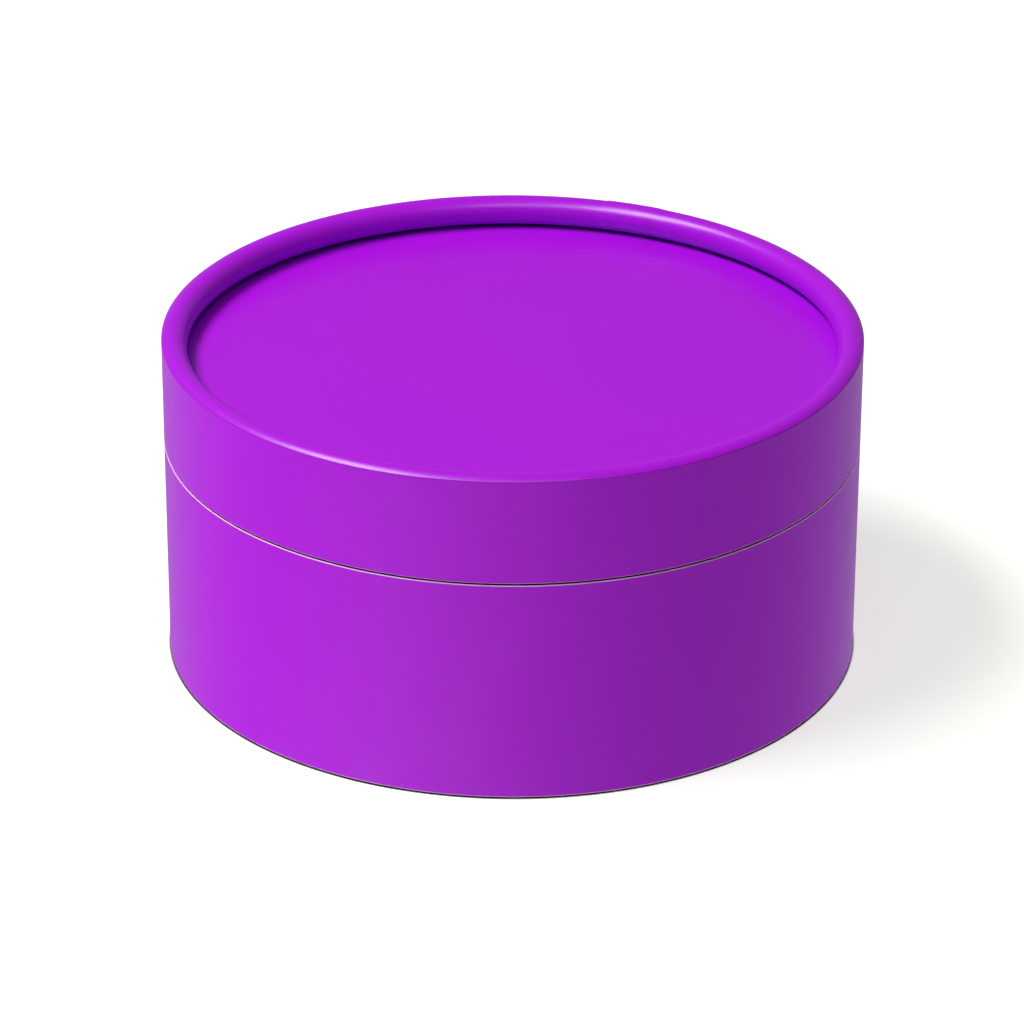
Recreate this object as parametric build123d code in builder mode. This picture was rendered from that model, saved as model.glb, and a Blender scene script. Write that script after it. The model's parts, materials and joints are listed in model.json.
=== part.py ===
from build123d import *
import os
from math import acos, cos, degrees, radians, sin

# Round gift tube box: a rolled-rim lid that lifts off a straight base
# Both halves are wound paperboard tubes laminated with one coloured wrap paper.
# The lid's top edge is rolled inwards into a bead that holds a recessed disc.
# A neck tube glued inside the base stands up into the lid and guides it.

# Overall sizes, in millimetres
outer_diameter = 120.0
base_height = 39.4
seam_gap = 0.4
lid_height = 18.9

# Papers and glue
wrap_paper = 0.2
lining_paper = 0.15
glue_line = 0.05

# Rolled rim of the lid: its radius is half its width and the fullness, by which
# the bead presses out past the wall's line, so that they meet in a crease
rim_width = 4.35
rim_fullness = 0.375
rim_leg = 0.1
rim_crevice = 0.3
curl_under = 90.0

# Boards
lid_board = 1.2
lid_disc_thickness = 1.5
stop_ring_board = 1.2
stop_ring_height = 3.0
neck_board = 1.2
base_disc_thickness = 2.0

# Fits and margins
neck_clearance = 0.3
foot_recess = 1.2
foot_ease = 0.3
disc_margin = 8.0
lining_setback = 0.5

# Lap of the wrap: its width, how far it stands out, and the direction of its outer end
lap_width = 10.0
lap_rise = 0.1
lap_end = 73.0

# Levels, from the table upwards
outer_radius = outer_diameter / 2
rim_reach = rim_width / 2 + rim_fullness
seam_bottom = base_height
lid_bottom = base_height + seam_gap
lid_top = lid_bottom + lid_height
roll_radius = outer_radius - rim_width + rim_reach
crown_level = lid_top - rim_reach
curl_level = crown_level - rim_leg
disc_top = curl_level - rim_reach - rim_crevice
lid_disc_top = disc_top - wrap_paper
lid_disc_bottom = lid_disc_top - lid_disc_thickness
stop_ring_top = lid_disc_bottom - wrap_paper
stop_ring_bottom = stop_ring_top - stop_ring_height
base_disc_bottom = foot_recess + wrap_paper
floor_level = base_disc_bottom + base_disc_thickness

# Radii, from the outside inwards
board_outside = outer_radius - wrap_paper - glue_line
lid_board_inside = board_outside - lid_board
in_lid_outside = lid_board_inside - glue_line
lid_disc_radius = in_lid_outside - wrap_paper - glue_line
stop_ring_inside = in_lid_outside - stop_ring_board
lid_lining_inside = in_lid_outside - lining_paper
neck_outside = lid_lining_inside - neck_clearance
neck_board_outside = neck_outside - lining_paper - glue_line
neck_board_inside = neck_board_outside - neck_board
neck_lining_outside = neck_board_inside - glue_line
neck_lining_inside = neck_lining_outside - lining_paper
base_board_inside = neck_outside + glue_line
in_base_outside = base_board_inside - glue_line

# Angle that the lap covers
lap_angle = degrees(lap_width / outer_radius)

os.makedirs("parts", exist_ok=True)

# The upright half plane where every winding starts: x is the radius, y is the height
lap_turn = radians(lap_end - lap_angle)
lap_plane = Plane(
    origin=(0, 0, 0),
    x_dir=(cos(lap_turn), sin(lap_turn), 0),
    z_dir=(sin(lap_turn), -cos(lap_turn), 0),
)


def ring_section(inside, outside, bottom, top):
    """A rectangle of the half section, in the sketch that is open."""
    with Locations(((inside + outside) / 2, (bottom + top) / 2)):
        Rectangle(outside - inside, top - bottom)


def roll_section(depth, thickness, under):
    """Half section of the lid's wall and rolled rim, for a sheet that lies so deep in it."""
    with BuildSketch(lap_plane) as section:
        with BuildLine():
            ends = []
            for inset in (depth, depth + thickness):
                reach = rim_reach - inset
                wall = outer_radius - inset
                crease = degrees(acos((wall - roll_radius) / reach))
                foot = (wall, lid_bottom)
                crown = CenterArc((roll_radius, crown_level), reach, crease, 180 - crease)
                Line(foot, crown @ 0)
                end = Line(crown @ 1, (roll_radius - reach, curl_level))
                if under > 0:
                    end = CenterArc((roll_radius, curl_level), reach, 180, under)
                ends.append((foot, end @ 1))
            Line(ends[0][0], ends[1][0])
            Line(ends[0][1], ends[1][1])
        make_face()
    return section.sketch


# Lid tube: board wound to the outside diameter, its top edge rolled inwards
with BuildPart() as lid_tube:
    revolve(roll_section(wrap_paper + glue_line, lid_board, curl_under), Axis.Z)
lid_tube.part.label = "lid_tube"
export_step(lid_tube.part, "parts/lid_tube.step")

# Lid wrap: laminated before the rolling, so it goes round the rim and under with the board
with BuildPart() as lid_wrap:
    revolve(roll_section(0, wrap_paper, curl_under), Axis.Z)
    revolve(roll_section(-lap_rise, wrap_paper + lap_rise, 0), Axis.Z, lap_angle)
lid_wrap.part.label = "lid_wrap"
export_step(lid_wrap.part, "parts/lid_wrap.step")

# Lid disc board: glued inside the tube, a hair's breadth under the roll
with BuildPart() as lid_disc_board:
    with BuildSketch(Plane.XY.offset(lid_disc_bottom)):
        Circle(lid_disc_radius)
    extrude(amount=lid_disc_thickness)
lid_disc_board.part.label = "lid_disc_board"
export_step(lid_disc_board.part, "parts/lid_disc_board.step")

# Lid disc cover: wrap paper over the disc, down its edge and turned under as a margin
with BuildPart() as lid_disc_cover:
    with BuildSketch(Plane.XY.offset(lid_disc_bottom - wrap_paper)):
        Circle(in_lid_outside)
    extrude(amount=disc_top - stop_ring_top)
    with BuildSketch(Plane.XY.offset(lid_disc_bottom)):
        Circle(lid_disc_radius)
    extrude(amount=lid_disc_thickness, mode=Mode.SUBTRACT)
    with BuildSketch(Plane.XY.offset(lid_disc_bottom - wrap_paper)):
        Circle(lid_disc_radius - disc_margin)
    extrude(amount=wrap_paper, mode=Mode.SUBTRACT)
lid_disc_cover.part.label = "lid_disc_cover"
export_step(lid_disc_cover.part, "parts/lid_disc_cover.step")

# Stop ring: short tube glued under the disc, which the neck's lip meets
with BuildPart() as lid_stop_ring:
    with BuildSketch(Plane.XY.offset(stop_ring_bottom)):
        Circle(in_lid_outside)
        Circle(stop_ring_inside, mode=Mode.SUBTRACT)
    extrude(amount=stop_ring_height)
lid_stop_ring.part.label = "lid_stop_ring"
export_step(lid_stop_ring.part, "parts/lid_stop_ring.step")

# Lid ceiling lining: paper disc inside the stop ring, over the turned margin
with BuildPart() as lid_ceiling_lining:
    with BuildSketch(Plane.XY.offset(stop_ring_top - lining_paper)):
        Circle(stop_ring_inside - glue_line)
    extrude(amount=lining_paper)
lid_ceiling_lining.part.label = "lid_ceiling_lining"
export_step(lid_ceiling_lining.part, "parts/lid_ceiling_lining.step")

# Lid wall lining: paper inside the lid wall, from near its edge up to the stop ring
with BuildPart() as lid_wall_lining:
    with BuildSketch(lap_plane):
        ring_section(lid_lining_inside, in_lid_outside, lid_bottom + lining_setback, stop_ring_bottom)
    revolve(axis=Axis.Z)
lid_wall_lining.part.label = "lid_wall_lining"
export_step(lid_wall_lining.part, "parts/lid_wall_lining.step")

# Base tube: wound a little thicker than the lid's, so that both finish at one diameter
with BuildPart() as base_tube:
    with BuildSketch(lap_plane):
        ring_section(base_board_inside, board_outside, 0, seam_bottom)
    revolve(axis=Axis.Z)
base_tube.part.label = "base_tube"
export_step(base_tube.part, "parts/base_tube.step")

# Base wrap: outer ply of the base, its two ends lapped at the back
with BuildPart() as base_wrap:
    with BuildSketch(lap_plane):
        ring_section(outer_radius - wrap_paper, outer_radius, foot_ease, seam_bottom)
    revolve(axis=Axis.Z)
    with BuildSketch(lap_plane):
        ring_section(outer_radius - wrap_paper, outer_radius + lap_rise, foot_ease, seam_bottom)
    revolve(axis=Axis.Z, revolution_arc=lap_angle)
base_wrap.part.label = "base_wrap"
export_step(base_wrap.part, "parts/base_wrap.step")

# Base disc board: glued inside the foot, a little above the table
with BuildPart() as base_disc_board:
    with BuildSketch(Plane.XY.offset(base_disc_bottom)):
        Circle(in_base_outside)
    extrude(amount=base_disc_thickness)
base_disc_board.part.label = "base_disc_board"
export_step(base_disc_board.part, "parts/base_disc_board.step")

# Base disc cover: wrap paper on the underside
with BuildPart() as base_disc_cover:
    with BuildSketch(Plane.XY.offset(foot_recess)):
        Circle(in_base_outside)
    extrude(amount=wrap_paper)
base_disc_cover.part.label = "base_disc_cover"
export_step(base_disc_cover.part, "parts/base_disc_cover.step")

# Neck tube: stands on the base disc, glued to the base tube, and rises into the lid
neck_board_top = stop_ring_bottom - lining_paper
with BuildPart() as neck_tube:
    with BuildSketch(lap_plane):
        ring_section(neck_board_inside, neck_board_outside, floor_level, neck_board_top)
    revolve(axis=Axis.Z)
neck_tube.part.label = "neck_tube"
export_step(neck_tube.part, "parts/neck_tube.step")

# Neck wrap: black paper round the neck and over its lip
with BuildPart() as neck_wrap:
    with BuildSketch(lap_plane):
        ring_section(neck_outside - lining_paper, neck_outside, floor_level, stop_ring_bottom)
        ring_section(neck_board_inside, neck_outside, neck_board_top, stop_ring_bottom)
    revolve(axis=Axis.Z)
neck_wrap.part.label = "neck_wrap"
export_step(neck_wrap.part, "parts/neck_wrap.step")

# Neck lining: black paper inside the neck
with BuildPart() as neck_lining:
    with BuildSketch(lap_plane):
        ring_section(neck_lining_inside, neck_lining_outside, floor_level, stop_ring_bottom)
    revolve(axis=Axis.Z)
neck_lining.part.label = "neck_lining"
export_step(neck_lining.part, "parts/neck_lining.step")

# Floor lining: black paper disc inside the neck
with BuildPart() as floor_lining:
    with BuildSketch(Plane.XY.offset(floor_level)):
        Circle(neck_lining_inside - glue_line)
    extrude(amount=lining_paper)
floor_lining.part.label = "floor_lining"
export_step(floor_lining.part, "parts/floor_lining.step")
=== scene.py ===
# %% [markdown]
# # A round gift box in wound board
#
# The real box is two short tubes of wound paperboard under one laminated purple paper. The lid's
# top edge is rolled inwards into a bead round a recessed disc. A black neck inside the base guides
# the lid. Every part is a thin sheet bent round one upright axis, so the lesson has one main idea:
# draw the sheet's line in section, spin it round the axis, then give it its real thickness.
#
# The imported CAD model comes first. It is the frame that each new piece has to sit in.

import json
from math import acos, atan2, cos, degrees, hypot, pi, radians, sin

import bmesh
import bpy
from mathutils import Matrix, Vector


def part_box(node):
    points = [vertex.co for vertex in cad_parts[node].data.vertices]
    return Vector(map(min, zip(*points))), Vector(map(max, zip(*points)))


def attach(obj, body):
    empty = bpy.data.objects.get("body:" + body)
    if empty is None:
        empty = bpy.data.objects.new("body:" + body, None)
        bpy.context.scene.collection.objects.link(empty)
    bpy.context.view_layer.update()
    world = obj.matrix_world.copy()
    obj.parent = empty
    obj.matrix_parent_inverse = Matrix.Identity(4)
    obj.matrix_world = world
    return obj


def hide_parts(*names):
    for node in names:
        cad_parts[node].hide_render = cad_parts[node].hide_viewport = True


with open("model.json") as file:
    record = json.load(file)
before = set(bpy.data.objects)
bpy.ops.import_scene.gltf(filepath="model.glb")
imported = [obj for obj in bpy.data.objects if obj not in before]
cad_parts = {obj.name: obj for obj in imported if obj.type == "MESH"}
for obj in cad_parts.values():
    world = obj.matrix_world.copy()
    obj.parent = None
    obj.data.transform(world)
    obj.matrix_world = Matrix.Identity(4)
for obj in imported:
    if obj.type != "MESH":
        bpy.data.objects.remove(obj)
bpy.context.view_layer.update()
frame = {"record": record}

# %% [markdown]
# ## The box's real sizes
#
# The sizes are the CAD source's own, in millimetres, because a packer talks of boxes and papers so.
# They could be read from each node's box, but the rolled rim has a shape that a box doesn't give.
# One number turns them to the metres that Blender works in.

# %% Sizes in millimetres
MM = 0.001

outer_radius = 60.0
seam_bottom = 39.4
lid_bottom = 39.8
lid_top = 58.7

# Papers and glue
wrap_paper = 0.2
lining_paper = 0.15
glue_line = 0.05

# The rolled rim, which presses out past the wall's line by its fullness
rim_width = 4.35
rim_fullness = 0.375
rim_reach = rim_width / 2 + rim_fullness
rim_leg = 0.1
rim_crevice = 0.3
curl_under = 90.0

# Boards
lid_board = 1.2
lid_disc_thickness = 1.5
stop_ring_board = 1.2
stop_ring_height = 3.0
neck_board = 1.2
base_disc_thickness = 2.0

# Clearance and margins
neck_clearance = 0.3
disc_margin = 8.0
foot_recess = 1.2
foot_ease = 0.3
lining_setback = 0.5
print("the box is", 2 * outer_radius, "mm across and", lid_top, "mm high")

# %% The levels and radii that follow from them
roll_radius = outer_radius - rim_width + rim_reach
crown_level = lid_top - rim_reach
curl_level = crown_level - rim_leg
disc_top = curl_level - rim_reach - rim_crevice
lid_disc_top = disc_top - wrap_paper
lid_disc_bottom = lid_disc_top - lid_disc_thickness
stop_ring_top = lid_disc_bottom - wrap_paper
neck_lip = stop_ring_top - stop_ring_height
base_disc_bottom = foot_recess + wrap_paper
floor_level = base_disc_bottom + base_disc_thickness

board_outside = outer_radius - wrap_paper - glue_line
in_lid_outside = board_outside - lid_board - glue_line
lid_disc_radius = in_lid_outside - wrap_paper - glue_line
stop_ring_inside = in_lid_outside - stop_ring_board
neck_outside = in_lid_outside - lining_paper - neck_clearance
neck_board_outside = neck_outside - lining_paper - glue_line
neck_lining_outside = neck_board_outside - neck_board - glue_line
neck_lining_inside = neck_lining_outside - lining_paper
base_board_inside = neck_outside + glue_line
print("neck lip at", round(neck_lip, 2), "mm, floor at", round(floor_level, 2), "mm")

# %% [markdown]
# ## The camera
#
# A product shot like this is taken with a long lens from a little above, which keeps the walls
# nearly upright. The camera's place and lens came from fitting the rim, seam and foot ellipses of
# the photograph. The turn is built from the two angles a photographer would name: how far the
# camera is tipped down, and how far it is rolled.

# %% Camera at the photograph's angle
camera_place = (0.0, -0.7614, 0.3966)
lens_mm, sensor_mm = 171.2, 36.0
tip_down, roll = 26.116, 0.205

lens = bpy.data.cameras.new("product_lens")
lens.lens, lens.sensor_width = lens_mm, sensor_mm
lens.clip_start, lens.clip_end = 0.05, 20.0
camera = bpy.data.objects.new("product_camera", lens)
camera.matrix_world = (
    Matrix.Translation(camera_place)
    @ Matrix.Rotation(radians(90 - tip_down), 4, "X")
    @ Matrix.Rotation(radians(roll), 4, "Z")
)
bpy.context.scene.collection.objects.link(camera)
bpy.context.scene.camera = camera
print("camera", round(Vector(camera_place).length, 3), "m from the foot's centre")

# %% [markdown]
# ## Colours and nodes
#
# Print shops and screens give colours as sRGB hex values, while a shader wants linear light, so one
# function turns one into the other. A second one adds a shader node with its settings and its
# links, which keeps each finish short enough to read.

# %% Colour and node helpers
def colour(hex_code):
    """Linear RGBA for an sRGB hex value."""
    parts = [int(hex_code[i:i + 2], 16) / 255 for i in (1, 3, 5)]
    linear = [c / 12.92 if c <= 0.04045 else ((c + 0.055) / 1.055) ** 2.4 for c in parts]
    return (*linear, 1.0)


def add(material, kind, inputs=None, **settings):
    """Add a node: its settings are set, and each input takes a value or a link from a socket."""
    node = material.node_tree.nodes.new(kind)
    for name, value in settings.items():
        setattr(node, name, value)
    for name, value in (inputs or {}).items():
        if isinstance(value, bpy.types.NodeSocket):
            material.node_tree.links.new(value, node.inputs[name])
        else:
            node.inputs[name].default_value = value
    return node


def new_finish(name):
    """An empty material and its output node."""
    material = bpy.data.materials.new(name)
    material.use_nodes = True
    material.node_tree.nodes.clear()
    return material, add(material, "ShaderNodeOutputMaterial")


print("the purple print as linear light:", [round(c, 3) for c in colour("#B210DF")])

# %% [markdown]
# ## The wrap's finish
#
# The wrap is white coated art paper, printed solid purple and laminated with a matt film. The film
# hides the paper's fibres and gives a broad soft shine with no clear reflection, so roughness is
# about 0.3 and there is no coat. Three things keep it from looking like plastic: the print is a
# little denser in some places than in others, the film has a fine orange peel from the hot roller,
# and the board under it is never quite flat, which bends the highlights slowly.

# %% Matt laminated art paper
wrap_finish, output = new_finish("matt_laminated_art_paper")
place = add(wrap_finish, "ShaderNodeTexCoord").outputs["Object"]
# Print density drifts over about 30 mm, and fibre flocs show through at about 1 mm
density = add(
    wrap_finish, "ShaderNodeTexNoise",
    {"Vector": place, "Scale": 1 / (30 * MM), "Detail": 2.0},
)
flocs = add(
    wrap_finish, "ShaderNodeTexNoise",
    {"Vector": place, "Scale": 1 / (1.0 * MM), "Detail": 3.0},
)
mottle = add(
    wrap_finish, "ShaderNodeMath",
    {0: flocs.outputs["Fac"], 1: density.outputs["Fac"]}, operation="MULTIPLY",
)
ink = add(
    wrap_finish, "ShaderNodeMix",
    {"Factor": mottle.outputs[0], "A": colour("#B210DF"), "B": colour("#AD0EDA")}, data_type="RGBA",
)
# Hands and the stack have rubbed the film in patches of about 7 mm
rub = add(
    wrap_finish, "ShaderNodeTexNoise",
    {"Vector": place, "Scale": 1 / (7 * MM), "Detail": 2.0},
)
sheen_spread = add(
    wrap_finish, "ShaderNodeMapRange",
    {
        "Value": rub.outputs["Fac"],
        "From Min": 0.3, "From Max": 0.7, "To Min": 0.285, "To Max": 0.33,
    },
)
# The film's orange peel is really near 0.2 mm: it is drawn at 0.5 mm to show close up
peel = add(
    wrap_finish, "ShaderNodeTexNoise",
    {"Vector": place, "Scale": 1 / (0.5 * MM), "Detail": 1.0},
)
peel_bump = add(
    wrap_finish, "ShaderNodeBump",
    {"Height": peel.outputs["Fac"], "Distance": 0.004 * MM, "Strength": 1.0},
)
board_waves = add(
    wrap_finish, "ShaderNodeTexNoise",
    {"Vector": place, "Scale": 1 / (16 * MM), "Detail": 1.0},
)
film_bump = add(
    wrap_finish, "ShaderNodeBump",
    {
        "Height": board_waves.outputs["Fac"], "Distance": 0.06 * MM, "Strength": 1.0,
        "Normal": peel_bump.outputs["Normal"],
    },
)
film = add(
    wrap_finish, "ShaderNodeBsdfPrincipled",
    {
        "Base Color": ink.outputs["Result"], "Roughness": sheen_spread.outputs["Result"],
        "IOR": 1.5, "Normal": film_bump.outputs["Normal"],
    },
)
wrap_finish.node_tree.links.new(film.outputs["BSDF"], output.inputs["Surface"])
print(wrap_finish.name, len(wrap_finish.node_tree.nodes), "nodes")

# %% [markdown]
# ## The wrap's cut edge
#
# Where a knife has cut the wrap, its white core shows as a hair-thin pale line. On a real box this
# line runs along the seam and down the lap, and it is what tells the eye that the colour is paper
# and not paint. Ink has crept into the fibres a little, so the white leans towards lilac.

# %% White paper core
core_finish, output = new_finish("white_paper_core")
place = add(core_finish, "ShaderNodeTexCoord").outputs["Object"]
fibres = add(
    core_finish, "ShaderNodeTexNoise",
    {"Vector": place, "Scale": 1 / (0.6 * MM), "Detail": 3.0},
)
stain = add(
    core_finish, "ShaderNodeMix",
    {"Factor": fibres.outputs["Fac"], "A": colour("#FFCFFF"), "B": colour("#FAB6FE")},
    data_type="RGBA",
)
core_bump = add(
    core_finish, "ShaderNodeBump",
    {"Height": fibres.outputs["Fac"], "Distance": 0.01 * MM, "Strength": 1.0},
)
core = add(
    core_finish, "ShaderNodeBsdfPrincipled",
    {
        "Base Color": stain.outputs["Result"], "Roughness": 0.8, "IOR": 1.45,
        "Normal": core_bump.outputs["Normal"],
    },
)
core_finish.node_tree.links.new(core.outputs["BSDF"], output.inputs["Surface"])
print(core_finish.name, len(core_finish.node_tree.nodes), "nodes")

# %% [markdown]
# ## Black board
#
# The seam and the foot show as pure black lines, so the board under the wrap is dyed black through,
# as in boxes that are meant to look dark inside. At the foot a painted contact shadow on the sheet
# adds to the line. It is wound from several layers glued together.
# The faces are dull, with a few paler fibres that took less dye. A cut edge shows the layers as
# thin lines about 0.4 mm apart. A ring pattern round the upright axis draws them on every tube.

# %% Board dyed black through, with its plies
board_finish, output = new_finish("dyed_through_black_board")
place = add(board_finish, "ShaderNodeTexCoord").outputs["Object"]
ply = 0.4 * MM
# At scale 1 the node's rings lie 2 pi / 20 of a unit apart
plies = add(
    board_finish, "ShaderNodeTexWave",
    {
        "Vector": place, "Scale": 2 * pi / (20 * ply),
        "Distortion": 0.6, "Detail": 2.0, "Detail Scale": 0.2,
    },
    wave_type="RINGS", rings_direction="Z", wave_profile="SIN",
)
grain = add(
    board_finish, "ShaderNodeTexNoise",
    {"Vector": place, "Scale": 1 / (0.8 * MM), "Detail": 4.0},
)
flecks = add(board_finish, "ShaderNodeTexVoronoi", {"Vector": place, "Scale": 1 / (1.6 * MM)})
fleck_spots = add(
    board_finish, "ShaderNodeMapRange",
    {
        "Value": flecks.outputs["Distance"],
        "From Min": 0.05, "From Max": 0.2, "To Min": 0.5, "To Max": 0.0,
    },
)
pulp = add(
    board_finish, "ShaderNodeMix",
    {"Factor": grain.outputs["Fac"], "A": colour("#1C1A1E"), "B": colour("#121113")},
    data_type="RGBA",
)
flecked = add(
    board_finish, "ShaderNodeMix",
    {"Factor": fleck_spots.outputs["Result"], "A": pulp.outputs["Result"], "B": colour("#4A4644")},
    data_type="RGBA",
)
glue_lines = add(
    board_finish, "ShaderNodeMapRange",
    {
        "Value": plies.outputs["Fac"],
        "From Min": 0.75, "From Max": 1.0, "To Min": 0.0, "To Max": 0.6,
    },
)
layered = add(
    board_finish, "ShaderNodeMix",
    {
        "Factor": glue_lines.outputs["Result"],
        "A": flecked.outputs["Result"], "B": colour("#121113"),
    },
    data_type="RGBA",
)
fuzz = add(
    board_finish, "ShaderNodeBump",
    {"Height": grain.outputs["Fac"], "Distance": 0.03 * MM, "Strength": 1.0},
)
board = add(
    board_finish, "ShaderNodeBsdfPrincipled",
    {
        "Base Color": layered.outputs["Result"], "Roughness": 0.9, "IOR": 1.45,
        "Specular IOR Level": 0.25, "Normal": fuzz.outputs["Normal"],
    },
)
board_finish.node_tree.links.new(board.outputs["BSDF"], output.inputs["Surface"])
print(board_finish.name, len(board_finish.node_tree.nodes), "nodes")

# %% [markdown]
# ## Black lining paper
#
# The lining is dyed through and has no film, so it is deep black, quite dull, and shows its fibres.
# The fibres lie mostly one way, as they left the paper machine. Noise squeezed along the upright
# axis gives short streaks of that kind, in the colour and as a slight tooth.

# %% Mass-dyed black paper
lining_finish, output = new_finish("mass_dyed_black_paper")
place = add(lining_finish, "ShaderNodeTexCoord").outputs["Object"]
machine_way = add(lining_finish, "ShaderNodeMapping", {"Vector": place, "Scale": (1.0, 1.0, 4.0)})
strands = add(
    lining_finish, "ShaderNodeTexNoise",
    {
        "Vector": machine_way.outputs["Vector"], "Scale": 1 / (1.2 * MM),
        "Detail": 4.0, "Roughness": 0.6,
    },
)
dye = add(
    lining_finish, "ShaderNodeMix",
    {"Factor": strands.outputs["Fac"], "A": colour("#1A1A1D"), "B": colour("#2B2A2E")},
    data_type="RGBA",
)
tooth = add(
    lining_finish, "ShaderNodeBump",
    {"Height": strands.outputs["Fac"], "Distance": 0.03 * MM, "Strength": 1.0},
)
dyed = add(
    lining_finish, "ShaderNodeBsdfPrincipled",
    {
        "Base Color": dye.outputs["Result"], "Roughness": 0.82, "IOR": 1.45,
        "Normal": tooth.outputs["Normal"],
    },
)
lining_finish.node_tree.links.new(dyed.outputs["BSDF"], output.inputs["Surface"])
print(lining_finish.name, len(lining_finish.node_tree.nodes), "nodes")

# %% [markdown]
# ## Drawing a section and winding it
#
# A section is a line in the upright plane along +X. It starts as one vertex. A straight stretch is
# an extruded vertex that is moved, and a bend is the last vertex spun about the bend's centre. The
# whole line is then turned to where the wrap's lap starts and spun round the upright axis. A full
# spin needs use_merge, or its first and last columns stay apart.

# %% Section and winding helpers
# Columns of faces in a full turn
AROUND = 288

# Where the wrap laps, in degrees round the axis: it ends at the back, a little to the right
lap_width, lap_end = 10.0, 73.0
lap_start = lap_end - degrees(lap_width / outer_radius)

# In millimetres: vertices this close to each other are welded, and this close to a cut lie on it
WELD, ON_CUT = 0.001, 0.0001


def begin(radius, height):
    """A new mesh with the first point of a section, and that point."""
    mesh = bmesh.new()
    return mesh, mesh.verts.new((radius * MM, 0, height * MM))


def run(mesh, point, outward, upward, parts=1):
    """Draw a straight stretch from the point and return its end."""
    for _ in range(parts):
        point = bmesh.ops.extrude_vert_indiv(mesh, verts=[point])["verts"][0]
        step = Vector((outward, 0, upward)) * MM / parts
        bmesh.ops.translate(mesh, verts=[point], vec=step)
    return point


def bend(mesh, point, centre, turn, steps):
    """Draw an arc about a centre (radius, height), anticlockwise for a positive turn in degrees."""
    made = bmesh.ops.spin(
        mesh, geom=[point], cent=(centre[0] * MM, 0, centre[1] * MM), axis=(0, -1, 0),
        angle=radians(turn), steps=steps, use_merge=False,
    )
    return next(part for part in made["geom_last"] if isinstance(part, bmesh.types.BMVert))


def wind(mesh):
    """Spin the section a full turn. Its finished side is on the right of the line as drawn."""
    mesh.verts.ensure_lookup_table()
    first, second = mesh.verts[0].co.copy(), mesh.verts[1].co.copy()
    right = Vector((second.z - first.z, 0, first.x - second.x))
    bmesh.ops.spin(
        mesh, geom=mesh.verts[:] + mesh.edges[:], cent=(0, 0, 0), axis=(0, 0, 1),
        angle=2 * pi, steps=AROUND, use_merge=True,
    )
    bmesh.ops.remove_doubles(mesh, verts=mesh.verts, dist=WELD * MM)
    bmesh.ops.recalc_face_normals(mesh, faces=mesh.faces)
    middle = (first + second) / 2
    nearest = min(mesh.faces, key=lambda face: (face.calc_center_median() - middle).length)
    if nearest.normal.dot(right) < 0:
        bmesh.ops.reverse_faces(mesh, faces=mesh.faces)
    to_lap = Matrix.Rotation(radians(lap_start), 3, "Z")
    bmesh.ops.rotate(mesh, verts=mesh.verts, cent=(0, 0, 0), matrix=to_lap)


print("one step round the wall is", round(2 * pi * outer_radius / AROUND, 2), "mm")

# %% [markdown]
# ## Thickness, edges and finishing
#
# Solidify gives the sheet its real thickness. The drawn side keeps its finish, and the new side and
# the cut edges take the second one. Every cut edge is then bevelled by a few hundredths of a
# millimetre, because a perfectly sharp edge catches no light. Edges that still turn by more than
# 35 degrees stay sharp and the rest are shaded smooth.

# %% Thickness and finishing helpers
# An edge that turns by more than the first is bevelled, and one by less than the second is smooth
SHARP, SMOOTH = radians(50), radians(35)

# Width of the bevel on cut edges, in millimetres: a knife leaves paper crisper than board
wrap_bevel, lining_bevel, lid_bevel, base_bevel = 0.05, 0.04, 0.06, 0.08
print("the wrap's edges are bevelled by", wrap_bevel, "mm and the base tube's by", base_bevel, "mm")


def thicken(mesh, thickness, cut_finish=1):
    """Give the sheet its thickness behind the drawn side, and its other faces the cut finish."""
    drawn = set(mesh.faces)
    bmesh.ops.solidify(mesh, geom=mesh.faces[:], thickness=thickness * MM)
    for face in mesh.faces:
        face.material_index = 0 if face in drawn else cut_finish


def soften(mesh, width):
    """Bevel the sharp edges by a width in millimetres."""
    sharp = [
        edge for edge in mesh.edges
        if len(edge.link_faces) == 2 and edge.calc_face_angle() > SHARP
    ]
    bmesh.ops.bevel(
        mesh, geom=sharp, offset=width * MM, affect="EDGES", segments=2, profile=0.5, material=-1,
    )


def hand_over(mesh, name, node, slot, *finishes):
    """Turn the mesh into a piece that stands for a CAD node and rides on its body."""
    bmesh.ops.recalc_face_normals(mesh, faces=mesh.faces)
    for face in mesh.faces:
        face.smooth = True
    for edge in mesh.edges:
        edge.smooth = len(edge.link_faces) == 2 and edge.calc_face_angle() < SMOOTH
    data = bpy.data.meshes.new(name)
    mesh.to_mesh(data)
    mesh.free()
    for finish in finishes:
        data.materials.append(finish)
    piece = bpy.data.objects.new(name, data)
    bpy.context.scene.collection.objects.link(piece)
    body = next(b for b, nodes in frame["record"]["behaviour"]["bodies"].items() if node in nodes)
    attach(piece, body)
    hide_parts(node)
    corners = [v.co for v in data.vertices]
    low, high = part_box(node)
    off = max(
        abs(pick(co[axis] for co in corners) - corner[axis])
        for pick, corner in ((min, low), (max, high)) for axis in range(3)
    )
    print(f"{name}: {len(data.polygons)} faces on {body}, {off / MM:.3f} mm off its node's box")


# %% [markdown]
# ## The lap and the bare edges
#
# The wrap is one strip of paper, so somewhere its two ends have to meet. They lap by 10 mm at the
# back. The upper ply climbs over the lower one's end in about a millimetre, runs flat, and stops
# at a cut edge. The roller presses half of its thickness into the board, so it stands out by
# 0.1 mm. On the mesh, the columns over the lap are raised by that much. Two planes cut a narrow
# strip at the lap's end, and that strip becomes the step and takes the white core.
#
# A knife also drags the film back a little, so a hair of white core shows on the wall beside each
# cut. It is what makes the seam a black line with a pale one along it.

# %% Lap and bare edge helpers
STEP = 360 / AROUND
# The lap's cut edge, in degrees, and how far it stands out, in millimetres
HAIR, lap_rise = 0.03, 0.1
# Under the roll the lap dies away over this many millimetres
FADE = 1.0
print("the lap runs from", round(lap_start, 1), "to", lap_end, "degrees")


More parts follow.
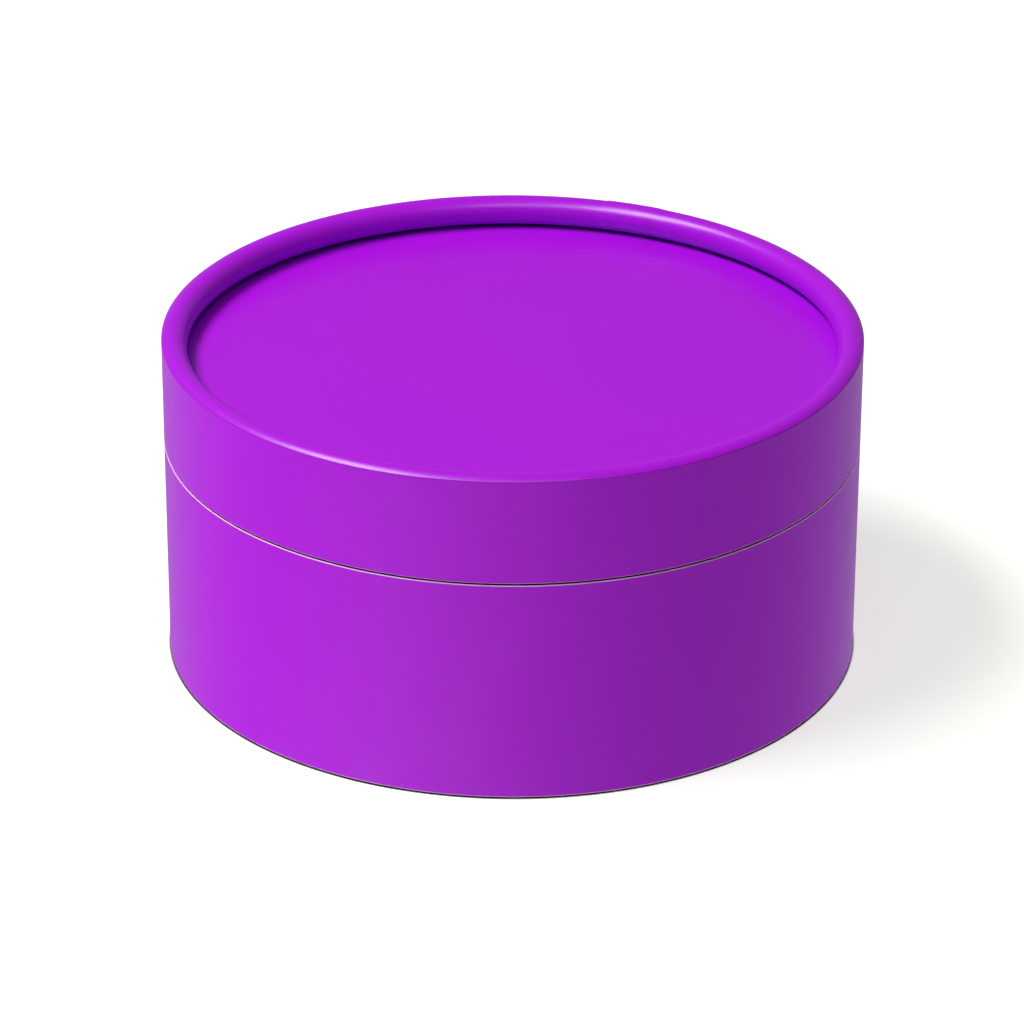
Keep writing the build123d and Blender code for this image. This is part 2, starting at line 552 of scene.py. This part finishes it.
def direction_of(place):
    """Direction round the axis in degrees, counted from the lap's start."""
    return (degrees(atan2(place.y, place.x)) - lap_start + 180) % 360 - 180


def bare(mesh, low, high):
    """Show the white core on the wall between two heights."""
    mid_paper = (outer_radius - wrap_paper / 2) * MM
    for face in mesh.faces:
        middle = face.calc_center_median()
        if low < middle.z / MM < high and hypot(middle.x, middle.y) > mid_paper:
            face.material_index = 1


def lap(mesh, inner_low=0.0, high=seam_bottom):
    """Raise the finished side over the lap: round the roll's core on the lid, or straight out."""
    end = lap_end - lap_start
    between = (roll_radius + outer_radius) / 2 * MM
    for cut in (lap_end, lap_end + HAIR):
        near = [
            face for face in mesh.faces
            if abs(direction_of(face.calc_center_median()) - end) < 2 * STEP
        ]
        touched = dict.fromkeys(part for face in near for part in (*face.verts, *face.edges, face))
        bmesh.ops.bisect_plane(
            mesh, geom=list(touched), dist=ON_CUT * MM, plane_co=(0, 0, 0),
            plane_no=(-sin(radians(cut)), cos(radians(cut)), 0),
        )
    finished = {vert for face in mesh.faces if face.material_index == 0 for vert in face.verts}
    lifted = {}
    for vert in finished:
        turn = direction_of(vert.co)
        if not -STEP / 2 < turn < end + HAIR / 2:
            continue
        around = Vector((vert.co.x, vert.co.y, 0))
        low = inner_low * MM if around.length < between else 0.0
        height = min(max(vert.co.z, low), high * MM)
        away = vert.co - (around.normalized() * roll_radius * MM + Vector((0, 0, height)))
        share = max(0.0, 1 - max(0.0, low - vert.co.z) / (FADE * MM))
        lifted[vert] = away.normalized() * lap_rise * MM * share
    for face in mesh.faces:
        if end < direction_of(face.calc_center_median()) < end + HAIR:
            face.material_index = 1
    for vert, step in lifted.items():
        vert.co += step


# %% [markdown]
# ## Lid wrap
#
# The most telling form of the box is the lid's rim. The laminated tube is pressed into a die that
# rolls its edge inwards and down until it nearly meets the disc, paper and board together. The die
# presses the bead a little past the wall's line, so the two meet in a crease that runs all round,
# and light that glides over the bead stops there. The line follows that: up the wall, round a tight
# shoulder, over the crown, down a short leg, and a quarter turn under.

# %% Lid wrap with its rolled rim
# The row of faces along a cut edge is this high, and the bevel bends no others
EDGE = 0.3
# The bare paper beside the cut, and the shoulder's radius
lid_bare, shoulder = 0.06, 0.25

crease = acos((outer_radius - shoulder - roll_radius) / (rim_reach - shoulder))
shoulder_level = crown_level + (rim_reach - shoulder) * sin(crease)

mesh, point = begin(outer_radius, lid_bottom)
for rise in (lid_bare, EDGE - lid_bare, shoulder_level - lid_bottom - 2 * EDGE, EDGE):
    point = run(mesh, point, 0, rise)
point = bend(mesh, point, (outer_radius - shoulder, shoulder_level), degrees(crease), 5)
point = bend(mesh, point, (roll_radius, crown_level), 180 - degrees(crease), 26)
point = run(mesh, point, 0, curl_level - crown_level)
bend(mesh, point, (roll_radius, curl_level), curl_under, 16)
wind(mesh)
thicken(mesh, wrap_paper)
soften(mesh, wrap_bevel)
bare(mesh, lid_bottom, lid_bottom + lid_bare)
lap(mesh, curl_level, crown_level)
hand_over(mesh, "lid_wrap_paper", "lid_wrap", "purple_wrap", wrap_finish, core_finish)
print("crease between wall and bead at", round(shoulder_level, 2), "mm")

# %% [markdown]
# ## Lid tube
#
# The board lies right behind the wrap and takes the same path at a smaller radius. Only its cut
# edge shows, from below, when the lid is off.

# %% Lid board tube
board_reach = rim_reach - wrap_paper - glue_line
board_crease = acos((board_outside - roll_radius) / board_reach)
mesh, point = begin(board_outside, lid_bottom)
for rise in (EDGE, crown_level + board_reach * sin(board_crease) - lid_bottom - EDGE):
    point = run(mesh, point, 0, rise)
point = bend(mesh, point, (roll_radius, crown_level), 180 - degrees(board_crease), 20)
point = run(mesh, point, 0, curl_level - crown_level)
bend(mesh, point, (roll_radius, curl_level), curl_under, 10)
wind(mesh)
thicken(mesh, lid_board, cut_finish=0)
soften(mesh, lid_bevel)
hand_over(mesh, "lid_board_tube", "lid_tube", "black_board", board_finish)

# %% [markdown]
# ## The recessed disc
#
# A board disc sits under the roll. Its cover paper goes over the top, down the edge and 8 mm in
# underneath, so the line starts with that margin and ends on the axis. The die cuts the disc's top
# edge round, and the paper follows it. That corner falls away under the roll, which is why the
# crevice between them is a deep black line.

# %% Disc board
disc_round, disc_bevel = 0.45, 0.15
board_round = disc_round - wrap_paper

mesh, point = begin(0, lid_disc_bottom)
point = run(mesh, point, lid_disc_radius, 0, parts=4)
point = run(mesh, point, 0, lid_disc_thickness - board_round)
point = bend(mesh, point, (lid_disc_radius - board_round, lid_disc_top - board_round), 90, 6)
run(mesh, point, board_round - lid_disc_radius, 0, parts=4)
wind(mesh)
soften(mesh, disc_bevel)
hand_over(mesh, "lid_disc_black_board", "lid_disc_board", "black_board", board_finish)

# %% Disc cover with its turned margin
disc_fold = 0.35

mesh, point = begin(lid_disc_radius - disc_margin, stop_ring_top)
point = run(mesh, point, in_lid_outside - disc_fold - (lid_disc_radius - disc_margin), 0, parts=2)
point = bend(mesh, point, (in_lid_outside - disc_fold, stop_ring_top + disc_fold), 90, 4)
point = run(mesh, point, 0, disc_top - stop_ring_top - disc_fold - disc_round)
point = bend(mesh, point, (in_lid_outside - disc_round, disc_top - disc_round), 90, 10)
run(mesh, point, disc_round - in_lid_outside, 0, parts=28)
wind(mesh)
thicken(mesh, wrap_paper)
hand_over(mesh, "lid_disc_paper", "lid_disc_cover", "purple_wrap", wrap_finish, core_finish)

# %% [markdown]
# ## Inside the lid
#
# A short ring of board under the disc is what the neck's lip stops against. Black paper lines the
# ceiling inside that ring and the wall below it. A line drawn downwards has its finished side
# towards the axis, and one drawn outwards has it facing down.

# %% Stop ring
mesh, point = begin(in_lid_outside, neck_lip)
run(mesh, point, 0, stop_ring_height)
wind(mesh)
thicken(mesh, stop_ring_board, cut_finish=0)
soften(mesh, lid_bevel)
hand_over(mesh, "lid_stop_board_ring", "lid_stop_ring", "black_board", board_finish)

# %% Ceiling lining
mesh, point = begin(0, stop_ring_top - lining_paper)
run(mesh, point, stop_ring_inside - glue_line, 0, parts=6)
wind(mesh)
thicken(mesh, lining_paper, cut_finish=0)
hand_over(mesh, "lid_ceiling_paper", "lid_ceiling_lining", "black_paper", lining_finish)

# %% Wall lining
mesh, point = begin(in_lid_outside - lining_paper, neck_lip)
run(mesh, point, 0, lid_bottom + lining_setback - neck_lip, parts=2)
wind(mesh)
thicken(mesh, lining_paper, cut_finish=0)
soften(mesh, lining_bevel)
hand_over(mesh, "lid_wall_paper", "lid_wall_lining", "black_paper", lining_finish)

# %% [markdown]
# ## Base wall
#
# The base's tube is a little thicker than the lid's, so that both finish at one diameter with the
# neck between them. Its wrap stops 0.3 mm above the table, which is how a knife leaves it, and the
# board alone carries the box. That bare foot, with a painted contact shadow on the sheet beneath
# it, is the black line under the wall.

# %% Base tube
mesh, point = begin(board_outside, 0)
for rise in (EDGE, seam_bottom - 2 * EDGE, EDGE):
    point = run(mesh, point, 0, rise)
wind(mesh)
thicken(mesh, board_outside - base_board_inside, cut_finish=0)
soften(mesh, base_bevel)
hand_over(mesh, "base_board_tube", "base_tube", "black_board", board_finish)

# %% Base wrap with its lap
# The bare paper beside the cuts at the foot and at the seam
foot_bare, seam_bare = 0.08, 0.12

mesh, point = begin(outer_radius, foot_ease)
wall = seam_bottom - foot_ease - 2 * EDGE
for rise in (foot_bare, EDGE - foot_bare, wall, EDGE - seam_bare, seam_bare):
    point = run(mesh, point, 0, rise)
wind(mesh)
thicken(mesh, wrap_paper)
soften(mesh, wrap_bevel)
bare(mesh, foot_ease, foot_ease + foot_bare)
bare(mesh, seam_bottom - seam_bare, seam_bottom)
lap(mesh)
hand_over(mesh, "base_wrap_paper", "base_wrap", "purple_wrap", wrap_finish, core_finish)

# %% [markdown]
# ## Base bottom
#
# The bottom disc is pushed up a little into the tube, which leaves a shallow recess under the box.
# The same purple paper covers its underside.

# %% Bottom disc board
bottom_bevel = 0.1

mesh, point = begin(0, base_disc_bottom)
run(mesh, point, base_board_inside - glue_line, 0, parts=4)
wind(mesh)
thicken(mesh, base_disc_thickness, cut_finish=0)
soften(mesh, bottom_bevel)
hand_over(mesh, "base_disc_black_board", "base_disc_board", "black_board", board_finish)

# %% Bottom disc cover
mesh, point = begin(0, foot_recess)
run(mesh, point, base_board_inside - glue_line, 0, parts=6)
wind(mesh)
thicken(mesh, wrap_paper)
hand_over(mesh, "base_disc_paper", "base_disc_cover", "purple_wrap", wrap_finish, core_finish)

# %% [markdown]
# ## Neck
#
# The neck is what makes the lid sit straight: a third tube, glued inside the base, that stands
# 9 mm above its edge. Black paper wraps it and turns over the lip. It is also why the seam shows as
# a black hairline, since the eye looks through the gap at the neck.

# %% Neck tube
neck_board_top = neck_lip - lining_paper
mesh, point = begin(neck_board_outside, floor_level)
run(mesh, point, 0, neck_board_top - floor_level, parts=2)
wind(mesh)
thicken(mesh, neck_board, cut_finish=0)
soften(mesh, base_bevel)
hand_over(mesh, "neck_board_tube", "neck_tube", "black_board", board_finish)

# %% Neck wrap, over the lip
lip_corner = 0.3
mesh, point = begin(neck_outside, floor_level)
point = run(mesh, point, 0, neck_lip - lip_corner - floor_level, parts=3)
point = bend(mesh, point, (neck_outside - lip_corner, neck_lip - lip_corner), 90, 5)
run(mesh, point, neck_board_outside - neck_board - (neck_outside - lip_corner), 0)
wind(mesh)
thicken(mesh, lining_paper, cut_finish=0)
hand_over(mesh, "neck_wrap_paper", "neck_wrap", "black_paper", lining_finish)

# %% Neck lining
mesh, point = begin(neck_lining_inside, neck_lip)
run(mesh, point, 0, floor_level - neck_lip, parts=3)
wind(mesh)
thicken(mesh, lining_paper, cut_finish=0)
soften(mesh, lining_bevel)
hand_over(mesh, "neck_lining_paper", "neck_lining", "black_paper", lining_finish)

# %% Floor lining
mesh, point = begin(neck_lining_inside - glue_line, floor_level + lining_paper)
run(mesh, point, glue_line - neck_lining_inside, 0, parts=6)
wind(mesh)
thicken(mesh, lining_paper, cut_finish=0)
hand_over(mesh, "floor_paper", "floor_lining", "black_paper", lining_finish)

# %% [markdown]
# ## Floor and light
#
# The photograph has a seamless white floor and backdrop. Its light tells three things. A wide soft
# key high on the left draws the bright bands on the rim. The wall is lit while the roll's inner
# side stays dark, so much of the light comes up from below, as on a table of lit glass. A dimmer
# room, brighter behind the box and below it, gives the pale rims at the left and right edges.
#
# A white floor that also lit and mirrored itself in the wall would turn the purple milky. So the
# sheet and the backdrop are seen by the camera alone, and softboxes stand above and below the table
# instead. The sheet is slightly green, which cancels the purple that the walls throw on it.

# %% White paper sheet and lit backdrop
floor_finish, output = new_finish("seamless_white_paper")
place = add(floor_finish, "ShaderNodeTexCoord").outputs["Object"]
haze = add(
    floor_finish, "ShaderNodeTexNoise",
    {"Vector": place, "Scale": 1 / (60 * MM), "Detail": 2.0},
)
white = add(
    floor_finish, "ShaderNodeMix",
    {"Factor": haze.outputs["Fac"], "A": colour("#D8D8D8"), "B": colour("#D4D4D4")},
    data_type="RGBA",
)
# Painted contact shadow: within a hair's breadth of the foot, ambient occlusion turns the sheet's
# colour and its glow black
corner = add(floor_finish, "ShaderNodeAmbientOcclusion", {"Distance": 0.6 * MM}, samples=8)
painted_shadow_mask = add(
    floor_finish, "ShaderNodeMapRange",
    {
        "Value": corner.outputs["AO"],
        "From Min": 0.6, "From Max": 0.95, "To Min": 0.0, "To Max": 1.0,
    },
)
# The sheet's colour, with the painted contact shadow in it
sheet_colour_with_painted_shadow = add(
    floor_finish, "ShaderNodeMix",
    {"Factor": painted_shadow_mask.outputs["Result"], "A": colour("#0A0A0A"), "B": white.outputs["Result"]},
    data_type="RGBA",
)
# The softboxes stand near the box, so the far sheet makes up its own light
outwards = add(floor_finish, "ShaderNodeVectorMath", {0: place}, operation="LENGTH")
own_light = add(
    floor_finish, "ShaderNodeMapRange",
    {
        "Value": outwards.outputs["Value"],
        "From Min": 0.3, "From Max": 0.9, "To Min": 0.65, "To Max": 1.1,
    },
)
# The sheet's glow, darkened by the same painted contact shadow
sheet_glow_with_painted_shadow = add(
    floor_finish, "ShaderNodeMath",
    {0: painted_shadow_mask.outputs["Result"], 1: own_light.outputs["Result"]}, operation="MULTIPLY",
)
sheet = add(
    floor_finish, "ShaderNodeBsdfPrincipled",
    {
        "Base Color": sheet_colour_with_painted_shadow.outputs["Result"], "Roughness": 0.9, "Specular IOR Level": 0.2,
        "Emission Color": colour("#FBFFF2"), "Emission Strength": sheet_glow_with_painted_shadow.outputs["Value"],
    },
)
floor_finish.node_tree.links.new(sheet.outputs["BSDF"], output.inputs["Surface"])

backdrop_finish, output = new_finish("lit_white_backdrop")
shine = add(backdrop_finish, "ShaderNodeEmission", {"Color": colour("#FFFFFF"), "Strength": 1.0})
backdrop_finish.node_tree.links.new(shine.outputs["Emission"], output.inputs["Surface"])
print(floor_finish.name, "and", backdrop_finish.name)


# %% Sheet and backdrop, seen by the camera alone
def staging(name, finish, radius, height=0.0):
    """A round sheet, or a round wall where it has a height, that isn't part of the object."""
    mesh = bmesh.new()
    bmesh.ops.create_circle(mesh, cap_ends=height == 0, radius=radius, segments=96)
    if height:
        grown = bmesh.ops.extrude_edge_only(mesh, edges=mesh.edges[:])["geom"]
        top = [part for part in grown if isinstance(part, bmesh.types.BMVert)]
        bmesh.ops.translate(mesh, verts=top, vec=(0, 0, height))
    data = bpy.data.meshes.new(name)
    mesh.to_mesh(data)
    mesh.free()
    data.materials.append(finish)
    piece = bpy.data.objects.new(name, data)
    piece.visible_diffuse = piece.visible_glossy = piece.visible_shadow = False
    bpy.context.scene.collection.objects.link(piece)
    print(name, round(2 * radius, 1), "m across")


sheet_radius, backdrop_radius, backdrop_height = 4.0, 3.9, 4.0
staging("white_floor", floor_finish, sheet_radius)
staging("white_backdrop", backdrop_finish, backdrop_radius, backdrop_height)

# %% Softboxes
focus, lamp_distance = Vector((0, 0, 0.03)), 1.0


def softbox(name, direction, height, width, tall, power):
    """An area light at a direction and height in degrees, facing the box."""
    lamp = bpy.data.lights.new(name, "AREA")
    lamp.shape, lamp.size, lamp.size_y, lamp.energy = "RECTANGLE", width, tall, power
    turn, lift = radians(direction), radians(height)
    away = Vector((cos(lift) * cos(turn), cos(lift) * sin(turn), sin(lift)))
    light = bpy.data.objects.new(name, lamp)
    light.location = focus + away * lamp_distance
    light.rotation_euler = away.to_track_quat("Z", "Y").to_euler()
    bpy.context.scene.collection.objects.link(light)
    print(name, power, "W")


# Direction round the axis and height in degrees, the two sides in metres, and watts
softbox("key", -169, 61, 0.68, 0.32, 10.0)
softbox("front_top", -90, 60, 0.4, 0.4, 1.3)
softbox("left_under", -160, -60, 0.7, 0.5, 9.0)
softbox("front_under", -108, -60, 0.7, 0.5, 5.0)
softbox("front_right_under", -50, -60, 0.5, 0.5, 1.4)
softbox("right_under", 26, -62, 0.4, 0.4, 9.0)

# %% Dim room, brighter behind the box and below it
room = bpy.data.worlds.new("studio_room")
room.use_nodes = True
way = add(room, "ShaderNodeTexCoord").outputs["Generated"]
axes = add(room, "ShaderNodeSeparateXYZ", {"Vector": way}).outputs
back = add(
    room, "ShaderNodeMapRange",
    {"Value": axes["Y"], "From Min": 0.0, "From Max": 1.0, "To Min": 0.21, "To Max": 0.4},
)
below = add(
    room, "ShaderNodeMapRange",
    {"Value": axes["Z"], "From Min": -0.1, "From Max": 0.1, "To Min": 1.0, "To Max": 0.36},
)
room_light = add(
    room, "ShaderNodeMath", {0: back.outputs["Result"], 1: below.outputs["Result"]},
    operation="MULTIPLY",
)
surroundings = room.node_tree.nodes["Background"]
surroundings.inputs["Color"].default_value = colour("#FFFFFF")
room.node_tree.links.new(room_light.outputs["Value"], surroundings.inputs["Strength"])
bpy.context.scene.world = room
bpy.context.scene.view_settings.view_transform = "Standard"
